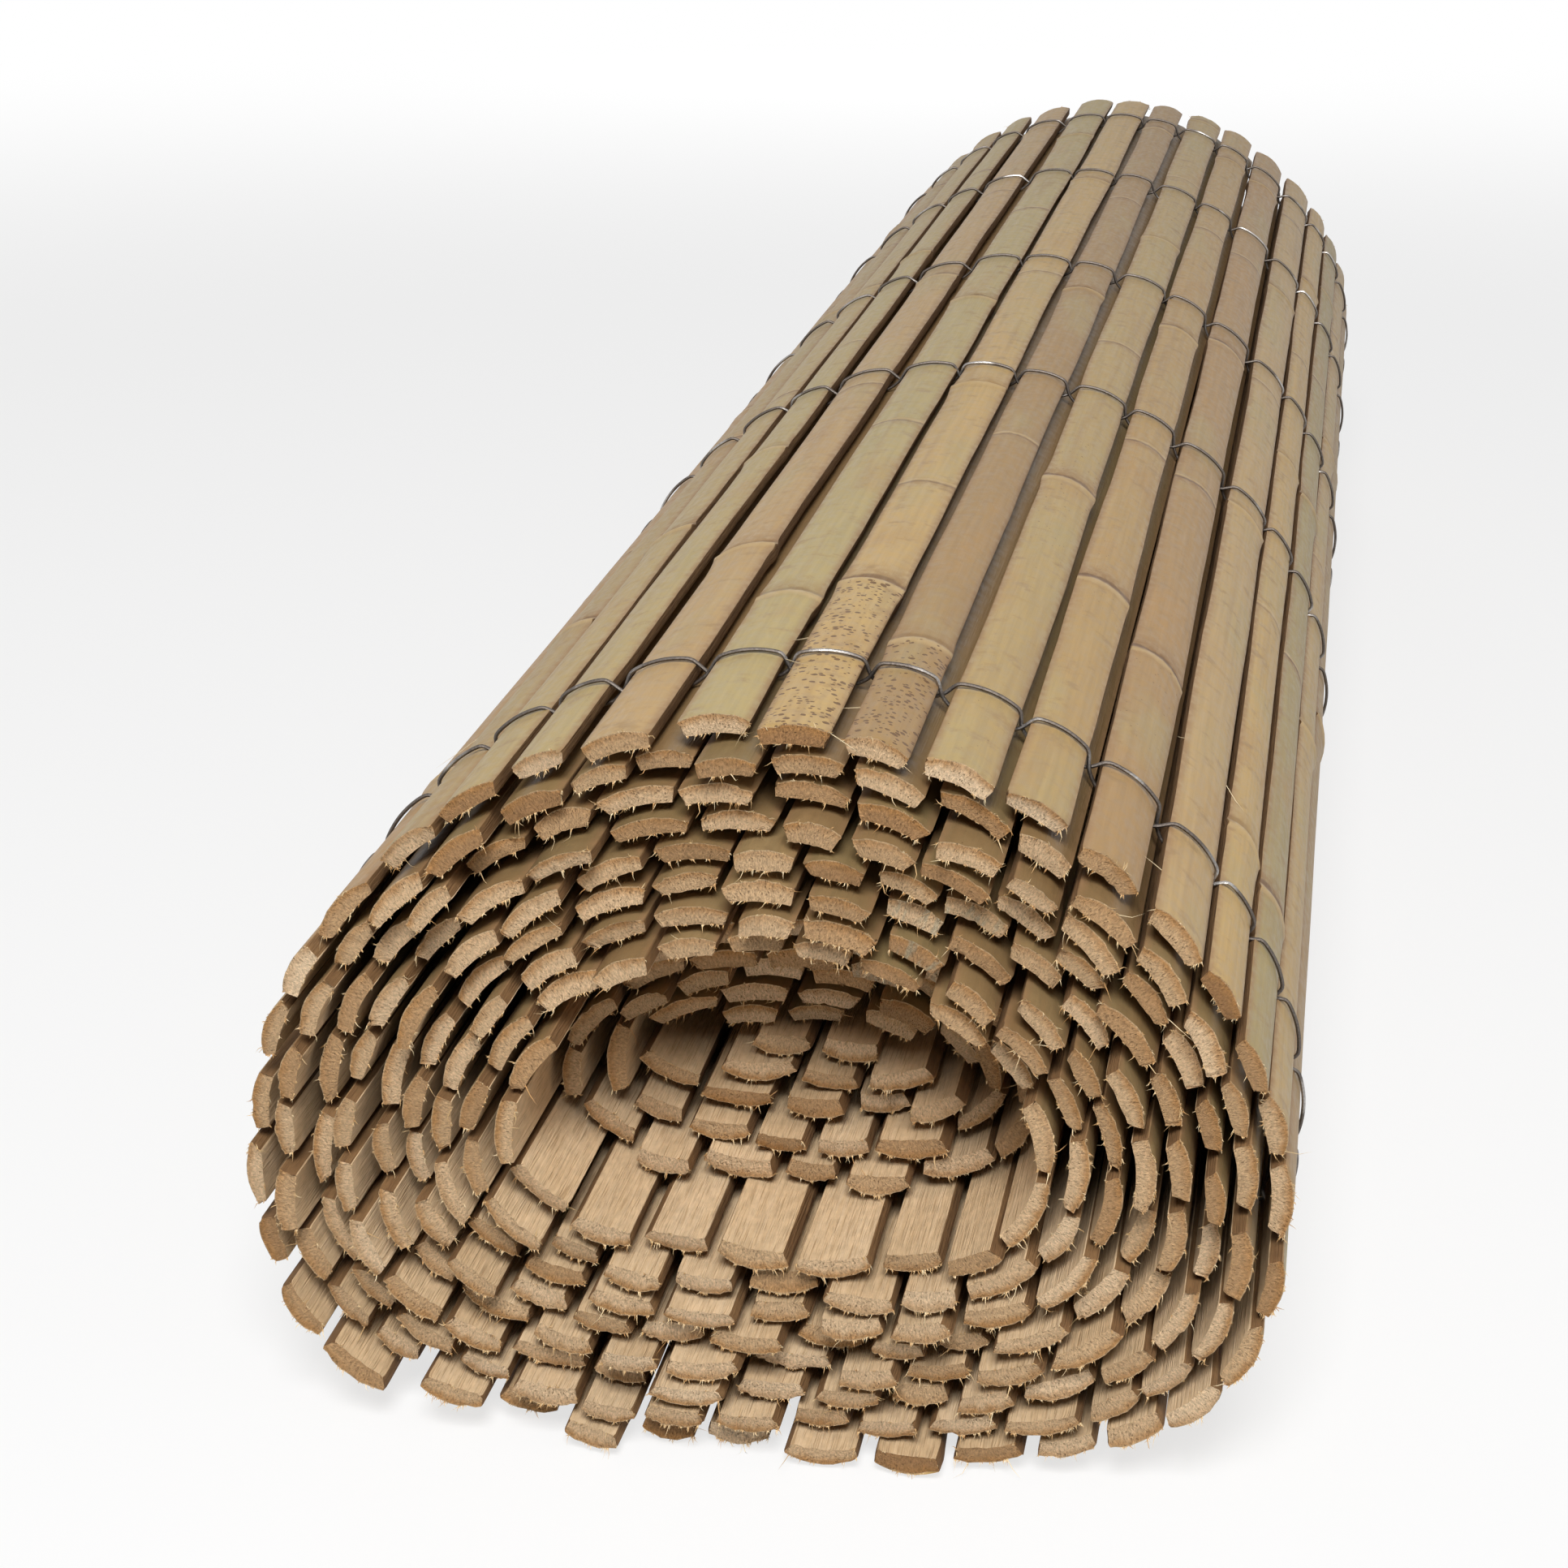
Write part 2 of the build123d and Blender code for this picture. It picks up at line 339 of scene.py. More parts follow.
def grain_map(y, grid, place, rim):
    """Flat places of all face corners, in metres: round the rim and along the slat for the long faces, across
    and depth for the ends. Every slat starts at its own random place, so no two show the same grain."""
    flat = grid * GRAIN_SIZE
    round_rim = np.linalg.norm(np.diff(flat[np.append(rim, rim[0])], axis=0), axis=1)
    travel = np.concatenate(([0], np.cumsum(round_rim)))
    ring, spot = np.meshgrid(np.arange(y.shape[1] - 1), np.arange(len(rim)), indexing="ij")
    turn = np.stack((spot, spot, spot + 1, spot + 1), axis=-1).reshape(-1, 4)
    step = np.stack((ring, ring + 1, ring + 1, ring), axis=-1).reshape(-1, 4)
    swept = np.stack(np.broadcast_arrays(travel[turn][None], y[:, step]), axis=-1)
    cells = grid_cells(place)
    ends = np.concatenate((flat[cells], flat[cells[:, ::-1]]))
    ends = np.broadcast_to(ends, (len(y), *ends.shape))
    start = chance.uniform(0, GRAIN_SPREAD, (len(y), 1, 1, 2))
    return np.concatenate((swept, ends), axis=1) + start


def build_lot(name, lot, grid_size, y, shape, knife, marks):
    """One closed skin for every slat of a lot, all in one mesh."""
    grid, place, rim, rim_kinds = section_grid(*grid_size)
    inner = np.setdiff1d(place, rim)
    rings, count = y.shape[1], len(y)
    skin, across, height = slat_points(lot, grid[rim], y, **shape, **knife)
    caps = []
    for ring in (0, rings - 1):
        end = {part: shape[part][:, [ring]] for part in ("sway", "lift", "lean", "bow")}
        end["trim"] = [side[:, [ring]] for side in shape["trim"]]
        cap, cap_across, cap_height = slat_points(lot, grid[inner], y[:, [ring]], **end, **knife)
        slant = saw_slant(np.concatenate((across[:, [ring]], cap_across), axis=2),
                          np.concatenate((height[:, [ring]], cap_height), axis=2))
        skin[:, ring] = fray(skin[:, ring])
        skin[:, ring, :, 1] += slant[:, 0, : len(rim)]
        cap[..., 1] += slant[..., len(rim) :]
        caps.append(cap.reshape(count, -1, 3))
    points = np.concatenate((skin.reshape(count, -1, 3), *caps), axis=1)
    points[..., 2] = np.maximum(points[..., 2], FLOOR_CLEARANCE)
    swept, ends, total = slat_faces(rings, place, rim)
    faces = np.concatenate((swept, *ends))
    kinds = np.concatenate((np.tile(rim_kinds, rings - 1), np.full(2 * len(ends[0]), SAWN_END)))
    everywhere = np.concatenate((np.tile(rim, rings), np.tile(inner, 2)))
    point_marks = {
        "depth": np.tile(grid[everywhere, 1], (count, 1)),
        "edge": np.tile(abs(grid[everywhere, 0]), (count, 1)),
    }
    for mark, values in marks.items():
        swept_values = np.repeat(np.broadcast_to(values, y.shape), len(rim), axis=1)
        point_marks[mark] = np.concatenate((swept_values, np.tile(values[:, :1], 2 * len(inner))), axis=1)
    piece = make_piece(
        name + "_set",
        points.reshape(-1, 3),
        (faces[None] + (np.arange(count) * total)[:, None, None]).reshape(-1, 4),
        np.tile(kinds, count),
        grain_map(y, grid, place, rim),
        point_marks,
    )
    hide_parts(name + "_slats")
    print(f"{piece.name}: {count} slats, {2 * len(faces) * count} triangles")
    return piece, skin


# %% [markdown]
# ## The outside turn
#
# This is the turn that everyone sees along its whole length, so its slats get many rings: an even row of
# them, and a cluster at every knot, where the rind changes within a millimetre. The split sides are trimmed
# by up to about a millimetre, more where the wire has bitten in, so the gaps widen and narrow as they do on
# hand-split cane. Nothing is ever added to the width. Two slats on top, found by their place in the section,
# are specked from their near end to their first knot.

# %% The outside turn's slats
EVEN_RINGS = 45
END_STEPS = (1.2, 4.0, 996.0, 998.8)
KNOT_STEPS = (-11, -6, -3.2, -1.8, -0.8, 0, 0.8, 1.8, 2.6, 3.4, 4.2, 5.4, 10)
RING_SPREAD = 4 * MM
KNOT_REACH, KNOT_MARK_REACH, UNTRIMMED = 24 * MM, 20 * MM, 7 * MM
BITE_REACH, BITE_DEPTH = 2.5 * MM, 0.3
SPOTTED_PLACE = (0.021, 0.17)
SPOTTED_KNOTS = np.array((72, 112)) * MM
SPOTTED_TONES = ((0.67,), (0.0,))


def outer_rings(lot, knots):
    """Places of the rings along each slat: even steps, two more near either end, and a cluster at each knot.
    They are sorted, spread by a hair so that no two coincide, and scaled back to the slat's length."""
    count, length = len(lot["near"]), (lot["far"] - lot["near"])[:, None]
    even = np.tile(np.linspace(0, 1, EVEN_RINGS), (count, 1)) * length
    ends = np.tile(END_STEPS, (count, 1)) * MM
    round_knots = (knots[..., None] + np.array(KNOT_STEPS) * MM).reshape(count, -1)
    y = np.sort(np.concatenate((even, ends, np.clip(round_knots, 0, length)), axis=1), axis=1)
    y = y + np.linspace(0, 1, y.shape[1]) * RING_SPREAD
    return (y - y[:, :1]) * length / (y[:, -1:] - y[:, :1])


outer = LOTS["outer_turn"]
outer_count = len(outer["near"])
knots = knot_places(outer)
spotted = np.argsort(np.hypot(*(outer["middle"] - SPOTTED_PLACE).T))[: len(SPOTTED_KNOTS)]
knots[spotted, 0] = SPOTTED_KNOTS
y_outer = outer_rings(outer, knots)
nearest = abs(y_outer[..., None] - knots[:, None]).argmin(axis=2)
past_knot = y_outer - np.take_along_axis(knots, nearest, axis=1)
at_knot = lambda values: np.take_along_axis(values, nearest, axis=1)
round_knot = bell(past_knot, KNOT_REACH)
knot_size = at_knot(chance.uniform(0.45, 1.25, knots.shape))
bite = sum(bell(y_outer + outer["near"][:, None] - row, BITE_REACH) for row in WIRE_ROWS)


def split_edge(y):
    """Trim of a split side in millimetres: a slow wave and a quick small one, none at a knot, and the wire's
    bite."""
    trim = 0.45 + 0.38 * wander(y, 0.43, 0.21) + 0.09 * wander(y, 0.052, 0.031)
    return (trim * (1 - bell(past_knot, UNTRIMMED)) + BITE_DEPTH * bite) * MM


outer_shape = {
    "trim": [split_edge(y_outer), split_edge(y_outer)],
    "sway": 0.22 * MM * wander(y_outer, 1.3, 0.6),
    "lift": knot_size * knot_swell(past_knot) - 0.1 * MM * (1 + wander(y_outer, 0.3, 0.14)),
    "lean": round_knot * at_knot(chance.normal(0, 1.3, knots.shape)) * MM,
    "bow": round_knot * at_knot(chance.normal(-0.8, 1.2, knots.shape)) * MM,
}
outer_marks = {
    "past_knot": np.clip(past_knot / KNOT_MARK_REACH, -1, 1),
    "scar": at_knot(chance.uniform(0.2, 1.0, knots.shape)),
    "tone": chance.permutation(outer_count)[:, None] / (outer_count - 1),
    "speckle": 0.45 * chance.random((outer_count, 1)) ** 3 * (1 + wander(y_outer, 0.5, 0.23)) / 2,
}
outer_marks["speckle"][spotted] = 1.0 * (y_outer < knots[:, :1])[spotted]
outer_marks["tone"][spotted] = SPOTTED_TONES

outer_knife = hand_split(outer_count, turned=1.0)
outer_piece, outer_skin = build_lot(
    "outer_turn", outer, OUTER_GRID, y_outer, outer_shape, outer_knife, outer_marks
)

# %% [markdown]
# ## The turns inside
#
# Of these slats only the ends and the first hand's breadth can be seen, down the gaps and in the core. They
# are made by the same function from a few rings, crowded towards the ends, and from a finer grid, because
# their sawn ends are what shows.

# %% The inner turns' slats
INNER_STEPS = np.array((0, 1.5, 6, 40)) * MM
STAIN_PLACE, STAINED_SLATS = (0.040, 0.127), 3


def inner_rings(lot):
    """Places of the rings: a few at growing distances from either end."""
    length = (lot["far"] - lot["near"])[:, None]
    return np.concatenate((np.tile(INNER_STEPS, (len(length), 1)), length - INNER_STEPS[::-1]), axis=1)


def build_inner(name):
    """A lot of inner slats: lightly trimmed and with no knots, their rind darkened as painted shade for the
    turns that overhang it, paler in tone lower down as painted light, and a few with a faint stain."""
    lot = LOTS[name]
    y = inner_rings(lot)
    count = len(y)
    shape = {
        "trim": [
            (0.2 + 0.18 * wander(y, 0.37, 0.09) + chance.uniform(0, 0.7, (count, 1))) * MM
            for side in range(2)
        ],
        "sway": np.zeros(y.shape),
        "lift": -0.1 * MM * (1 + wander(y, 0.3, 0.05)),
        "lean": np.zeros(y.shape),
        "bow": np.zeros(y.shape),
    }
    # Painted light: slats lower in the roll get a paler tone, so their sawn ends come out brighter, as if
    # more light reached the bottom of the roll.
    low = 1 - lot["middle"][:, 1:] / cad_box[1][2]
    stained = np.argsort(np.hypot(*(lot["middle"] - STAIN_PLACE).T))[:STAINED_SLATS]
    marks = {
        "past_knot": np.ones((count, 1)),
        # Painted shade: this mark darkens the rind of every inner slat, standing in for the shade cast by the
        # turns over it.
        "painted_shade_inside": np.ones((count, 1)),
        "tone": 0.65 * chance.random((count, 1)) + 0.35 * low,
        "stain": np.isin(np.arange(count), stained)[:, None] * 1.0,
        "speckle": 0.3 * chance.random((count, 1)),
    }
    return build_lot(name, lot, INNER_GRID, y, shape, hand_split(count, turned=3.0), marks)


core_piece, core_skin = build_inner("core")
middle_piece, middle_skin = build_inner("middle_turn")

# %% [markdown]
# ## The binding wire
#
# Each row is two strands of thin steel wire. One goes over a slat while the other goes under it, and they
# change places in every gap, which is what holds the slats apart. A strand is a circle carried along a path:
# the path is worked out slat by slat, then smoothed as stiff wire smooths itself, and the circle's frame is
# taken from the roll's axis, so the tube never twists.

# %% The two strands' paths
WIRE_RADIUS = 0.48 * MM
GAP_DEPTH = 0.35
WIRE_STEP, WIRE_STIFFNESS = 0.8 * MM, 1.1 * MM
WIRE_SIDES = 8


def section_spot(lot, share, depth, off):
    """A point of each slat's section, off the surface by a distance outwards."""
    pith = lot["pith_crown"] - lot["pith_fall"] * (share * lot["pith_half"]) ** 2
    rind = lot["rind_crown"] - lot["rind_fall"] * (share * lot["rind_half"]) ** 2
    across = share * (lot["pith_half"] + (lot["rind_half"] - lot["pith_half"]) * depth)
    height = pith + (rind - pith) * depth + off
    return lot["middle"] + across[:, None] * lot["along"] + height[:, None] * lot["outward"]


def strand_path(lead):
    """A strand's path seen along the roll: over every second slat in a low arch just clear of the rind, under
    the others just clear of the pith, and deep through the middle of each gap between."""
    shares = np.linspace(-0.86, 0.86, 7)
    arch = lambda share: WIRE_RADIUS + (0.3 - 0.4 * share**2) * MM
    over = np.stack([section_spot(outer, share, 1.0, arch(share)) for share in shares], axis=1)
    under = np.stack([section_spot(outer, share, 0.0, -WIRE_RADIUS) for share in shares], axis=1)
    first_over = (np.arange(outer_count) + lead) % 2 == 0
    legs = np.where(first_over[:, None, None], over, under)
    before, after = (section_spot(outer, share, GAP_DEPTH, 0.0) for share in (-1.0, 1.0))
    last = after[-1:] + WIRE_RADIUS * outer["along"][-1:]
    gaps = np.concatenate((before[:1], (after[:-1] + before[1:]) / 2, last))
    legs = np.concatenate((gaps[:-1, None], legs), axis=1).reshape(-1, 2)
    return np.concatenate((legs, gaps[-1:]))


def even_out(path, step, stiffness):
    """Points at even steps along a path, each then averaged with its neighbours by a bell curve."""
    travel = np.concatenate(([0], np.cumsum(np.linalg.norm(np.diff(path, axis=0), axis=1))))
    marks = np.linspace(0, travel[-1], int(travel[-1] / step))
    even = np.stack([np.interp(marks, travel, axis) for axis in path.T], axis=1)
    reach = 4
    weight = bell(np.arange(-reach, reach + 1) * step, stiffness)
    padded = np.pad(even, ((reach, reach), (0, 0)), mode="edge")
    return np.stack([np.convolve(axis, weight / weight.sum(), mode="valid") for axis in padded.T], axis=1)


def tube(path, radius, sides):
    """Points and faces of a closed tube: circles square to the path, turned so that one side always faces
    along the roll, and joined end to end. Each end is drawn in to a point."""
    ahead = np.gradient(path, axis=0)
    ahead /= np.linalg.norm(ahead, axis=1, keepdims=True)
    beside = np.array((0.0, 1.0, 0.0)) - ahead[:, 1:2] * ahead
    beside /= np.linalg.norm(beside, axis=1, keepdims=True)
    above = np.cross(ahead, beside)
    turn = np.linspace(0, 2 * np.pi, sides, endpoint=False)[:, None]
    size = np.full((len(path), 1, 1), radius)
    size[[0, -1]] *= 0.05
    ring = size * (np.cos(turn) * beside[:, None] + np.sin(turn) * above[:, None])
    points = (path[:, None] + ring).reshape(-1, 3)
    start, spot = np.meshgrid(np.arange(len(path) - 1) * sides, np.arange(sides), indexing="ij")
    after = (spot + 1) % sides
    faces = np.stack((start + spot, start + after, start + sides + after, start + sides + spot), axis=-1)
    return points, faces.reshape(-1, 4)


print("a strand passes", outer_count, "slats")

# %% The five rows of wire
def wire_row(row, y):
    """Both strands of a row. They wander a little along the roll, and stay one wire apart in the gaps."""
    points, faces = [], []
    for lead, beside in ((0, -1), (1, 1)):
        flat = even_out(strand_path(lead), WIRE_STEP, WIRE_STIFFNESS)
        flat[:, 1] = np.maximum(flat[:, 1], WIRE_RADIUS)
        travel = np.linspace(0, 1, len(flat))[None]
        along_roll = y + beside * 0.5 * MM + 0.9 * MM * wander(travel, 0.31, 0.09)[0]
        path = np.stack((flat[:, 0], along_roll, flat[:, 1]), axis=1)
        strand_points, strand_faces = tube(path, WIRE_RADIUS, WIRE_SIDES)
        faces.append(strand_faces + sum(map(len, points)))
        points.append(strand_points)
    piece = make_piece(f"wire_row_{row}_strands", np.concatenate(points), np.concatenate(faces))
    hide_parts(f"wire_row_{row}")
    return piece


wire_pieces = [wire_row(row, y) for row, y in enumerate(WIRE_ROWS, 1)]
print("wire triangles a row:", 2 * len(wire_pieces[0].data.polygons))

# %% [markdown]
# ## Fibres on the sawn ends
#
# A saw tears the last fibres instead of cutting them, so every end has a fringe, most of it along the lower
# edge. Each fibre is a thin three-sided spike with one bend. There are thousands, so each has only ten
# triangles, and all of them are worked out at once from the rims of the slats' end faces.

# %% The fringe of torn fibres
TUFT = 5
NEAR_FIBRES = ((core_skin, 2600), (middle_skin, 10400), (outer_skin, 2000))
SPIKE_POINTS = 7


def rim_places(skin, ring, count):
    """Random places on the slats' end rims, in tufts, and which way the rim faces there. There are more where
    it faces down, and more still near the corners, where its points crowd."""
    rims = skin[:, ring]
    edge = np.roll(rims, -1, axis=1) - rims
    facing = np.stack((edge[..., 2], np.zeros(edge.shape[:2]), -edge[..., 0]), axis=-1)
    inward = np.sum((rims.mean(axis=1, keepdims=True) - rims) * facing, axis=(1, 2)) > 0
    facing[inward] *= -1
    length = np.linalg.norm(facing, axis=-1)
    weight = np.maximum(-facing[..., 2], 0) + 0.4 * np.maximum(facing[..., 0], 0) + 0.1 * length + 0.12 * MM
    tufts = count // TUFT
    pick = np.repeat(chance.choice(weight.size, tufts, p=(weight / weight.sum()).ravel()), TUFT)
    spot = np.unravel_index(pick, weight.shape)
    share = np.repeat(chance.random((tufts, 1)), TUFT, axis=0) + chance.normal(0, 0.2, (len(pick), 1))
    way = facing[spot] / (length[spot][:, None] + 1e-12)
    way = way + np.repeat(chance.normal(0, 0.45, (tufts, 3)), TUFT, axis=0)
    return rims[spot] + np.clip(share, 0, 1) * edge[spot], way


def spikes(root, ahead, bend, length, width):
    """Three-sided spikes: a base ring, a ring halfway along, and a tip pushed aside by the bend."""
    ahead = ahead / np.linalg.norm(ahead, axis=1, keepdims=True)
    beside = np.cross(ahead, (0.31, 0.22, 0.92))
    beside /= np.linalg.norm(beside, axis=1, keepdims=True)
    above = np.cross(ahead, beside)
    turn = np.array((0, 2, 4)) * np.pi / 3
    ring = np.cos(turn)[:, None] * beside[:, None] + np.sin(turn)[:, None] * above[:, None]
    base = root[:, None] + width[:, None, None] * ring
    half = root + 0.55 * length[:, None] * ahead + 0.2 * bend
    middle = half[:, None] + 0.7 * width[:, None, None] * ring
    tip = (root + length[:, None] * ahead + bend)[:, None]
    faces = [(0, 2, 1)]
    for one, two in ((0, 1), (1, 2), (2, 0)):
        faces += [(one, two, 3 + two), (one, 3 + two, 3 + one), (3 + one, 3 + two, 6)]
    start = SPIKE_POINTS * np.arange(len(root))[:, None, None]
    points = np.concatenate((base, middle, tip), axis=1)
    return points.reshape(-1, 3), (start + np.array(faces)).reshape(-1, 3)


def fringe(name, ring, out_of_end, share):
    """The fringe of one end of the roll, a share of the near end's number: tufts of short fibres that lean
    out of the end, a few of them long."""
    roots, ways = [], []
    for skin, count in NEAR_FIBRES:
        root, facing = rim_places(skin, ring, int(count * share))
        roots.append(root)
        ways.append(0.6 * facing + np.array((0, out_of_end, -0.1)))
    roots, ways = np.concatenate(roots), np.concatenate(ways)
    ways += chance.normal(0, 0.3, ways.shape)
    count = len(roots)
    lengths = np.clip(chance.exponential(0.55, count), 0.3, 1.9) * MM
    lengths *= chance.choice((1.0, 3.0), count, p=(0.955, 0.045))
    bends = chance.normal(0, 0.3, (count, 3)) * lengths[:, None]
    points, faces = spikes(roots, ways, bends, lengths, chance.uniform(0.05, 0.14, count) * MM)
    points[:, 2] = np.maximum(points[:, 2], FLOOR_CLEARANCE)
    piece = make_piece(name, points, faces, marks={"tone": np.repeat(chance.random(count), SPIKE_POINTS)})
    print(f"{name}: {count} fibres, {len(faces)} triangles")
    return piece


fibre_pieces = [
    fringe("near_fibres", ring=0, out_of_end=-1.0, share=1.0),
    fringe("far_fibres", ring=-1, out_of_end=1.0, share=0.5),
]

# %% A few long splinters
def long_splinters(count):
    """Splinters that have lifted off the rind's edges near the near end: long thin spikes, almost flat on the
    rind, that start within a hand's breadth of the end and lean across a gap."""
    on_top = np.flatnonzero(outer["outward"][:, 1] > 0.6)
    slat = chance.choice(on_top, count)
    corner = chance.choice((0, OUTER_GRID[0] - 1), count)
    ring = chance.integers(1, 9, count)
    root = outer_skin[slat, ring, corner]
    upright = lambda field: np.insert(outer[field][slat], 1, 0.0, axis=1)
    outward, along = upright("outward"), upright("along")
    across = np.where(corner == 0, -1.0, 1.0)[:, None] * along
    way = across + np.array((0, -1.0, 0)) * chance.uniform(0.2, 2.5, (count, 1)) + 0.1 * outward
    lengths = chance.uniform(6, 20, count) * MM
    bends = 0.04 * lengths[:, None] * (outward + chance.normal(0, 0.5, (count, 3)))
    points, faces = spikes(root, way, bends, lengths, chance.uniform(0.1, 0.17, count) * MM)
    points[:, 2] = np.maximum(points[:, 2], FLOOR_CLEARANCE)
    piece = make_piece("splinters", points, faces, marks={"tone": np.ones(SPIKE_POINTS * count)})
    print("splinters:", count)
    return piece


fibre_pieces.append(long_splinters(9))

# %% [markdown]
# ## Finishes
#
# Split cane shows four faces: the waxy rind, the split sides with their long fibres, the pale pith, and the
# sawn end with the pores of its vessels. They share two effects, grain that runs along the slat and slow
# blotches of colour, so these two are node groups. The patterns lie on each slat's own grain map, measured in
# metres, so they follow the slat round the roll and differ from slat to slat.

# %% Helpers for node trees
def put(tree, kind, sockets=None, **settings):
    """Add a node. Settings are its own properties. Sockets are set by name or number, or linked."""
    node = tree.nodes.new("ShaderNode" + kind)
    for name, value in settings.items():
        setattr(node, name, value)
    for name, value in (sockets or {}).items():
        if isinstance(value, bpy.types.NodeSocket):
            tree.links.new(value, node.inputs[name])
        else:
            node.inputs[name].default_value = value
    return node


def sums(tree, operation, first, second, clamp=False):
    """Arithmetic on two values or sockets: a sum, a difference or a product."""
    return put(tree, "Math", {0: first, 1: second}, operation=operation, use_clamp=clamp).outputs[0]


def blend(tree, share, first, second, kind="MIX"):
    """Two colours mixed by a share."""
    node = put(tree, "Mix", {0: share, 6: first, 7: second}, data_type="RGBA", blend_type=kind)
    return node.outputs[2]


def remap(tree, value, low, high, to_low=0.0, to_high=1.0):
    """A value taken from one range to another, smoothly and no further."""
    ranges = {0: value, 1: low, 2: high, 3: to_low, 4: to_high}
    return put(tree, "MapRange", ranges, interpolation_type="SMOOTHSTEP").outputs[0]


def noise(tree, place, scale, detail, rough=0.5):
    """A soft noise, as a value."""
    sockets = {"Vector": place, "Scale": scale, "Detail": detail, "Roughness": rough}
    return put(tree, "TexNoise", sockets).outputs[0]


def ramp(tree, share, colours):
    """A colour picked from evenly spaced colours by a share."""
    node = put(tree, "ValToRGB", {0: share})
    stops = node.color_ramp.elements
    while len(stops) < len(colours):
        stops.new(1.0)
    for place, colour in enumerate(colours):
        stops[place].position = place / (len(colours) - 1)
        stops[place].color = (*colour, 1.0)
    return node.outputs[0]


def new_group(name, inputs, outputs):
    """An empty node group with float inputs (a vector for Place) and float outputs."""
    group = bpy.data.node_groups.new(name, "ShaderNodeTree")
    for socket in inputs:
        kind = "NodeSocketVector" if socket == "Place" else "NodeSocketFloat"
        group.interface.new_socket(socket, in_out="INPUT", socket_type=kind)
    for socket in outputs:
        group.interface.new_socket(socket, in_out="OUTPUT", socket_type="NodeSocketFloat")
    return group, group.nodes.new("NodeGroupInput"), group.nodes.new("NodeGroupOutput")


# %% Shared effects: grain and blotches
def make_grain():
    """Grain along the slat: two noises, drawn out along it by a large ratio of scales, coarse and fine."""
    group, given, made = new_group("cane_grain", ("Place", "Lines per metre"), ("Coarse", "Fine"))
    for output, ratio, drawn_out in (("Coarse", 1.0, 0.03), ("Fine", 3.1, 0.02)):
        lines = sums(group, "MULTIPLY", given.outputs[1], ratio)
        drawn = put(group, "CombineXYZ", {0: lines, 1: sums(group, "MULTIPLY", lines, drawn_out), 2: 1.0})
        place = put(group, "VectorMath", {0: given.outputs[0], 1: drawn.outputs[0]}, operation="MULTIPLY")
        group.links.new(noise(group, place.outputs[0], 1.0, 2.0, 0.6), made.inputs[output])
    return group


def make_blotches():
    """Slow changes of colour: one soft noise over a few centimetres and one over a few millimetres."""
    group, given, made = new_group("cane_blotches", ("Place",), ("Broad", "Small"))
    for output, scale, stretch in (("Broad", 38.0, 0.32), ("Small", 420.0, 0.6)):
        place = put(group, "VectorMath", {0: given.outputs[0], 1: (1.0, stretch, 1.0)}, operation="MULTIPLY")
        group.links.new(noise(group, place.outputs[0], scale, 3.0, 0.55), made.inputs[output])
    return group


GRAIN, BLOTCHES = make_grain(), make_blotches()
print("groups:", GRAIN.name, BLOTCHES.name)


def plain_finish(name):
    """A material with its node tree and its shader."""
    finish = bpy.data.materials.new(name)
    finish.use_nodes = True
    return finish, finish.node_tree, finish.node_tree.nodes["Principled BSDF"]


def cane_finish(name):
    """A plain finish with the things every cane finish reads: the grain map, the marks and the blotches."""
    finish, tree, shader = plain_finish(name)
    place = put(tree, "UVMap", uv_map="grain").outputs[0]
    mark = lambda which: put(tree, "Attribute", attribute_name=which).outputs["Fac"]
    blotches = put(tree, "Group", node_tree=BLOTCHES)
    tree.links.new(place, blotches.inputs["Place"])
    return finish, tree, shader, place, mark, blotches


def grain_lines(tree, place, per_metre):
    """The grain group at a given fineness."""
    node = put(tree, "Group", node_tree=GRAIN)
    tree.links.new(place, node.inputs["Place"])
    node.inputs["Lines per metre"].default_value = per_metre
    return node


def bump(tree, shader, height, distance, strength=1.0):
    """A bump of a height in metres on a shader."""
    node = put(tree, "Bump", {"Height": height, "Distance": distance, "Strength": strength})
    tree.links.new(node.outputs[0], shader.inputs["Normal"])


# %% [markdown]
# ### The rind
#
# Rind dries from green to straw and tan, and each slat of a mat comes from another cane, so the base colour
# is picked slat by slat. On top come blotches, a fine grain, worn brown edges, a brown scar with a pale ridge
# and a dark groove at each knot, and dark specks of mould, thick on two slats and thin on the rest.

# %% The rind's finish
RIND_COLOURS = ((0.49, 0.325, 0.13), (0.35, 0.275, 0.12), (0.38, 0.225, 0.092), (0.53, 0.38, 0.175),
                (0.34, 0.21, 0.085), (0.42, 0.32, 0.14), (0.42, 0.26, 0.1))


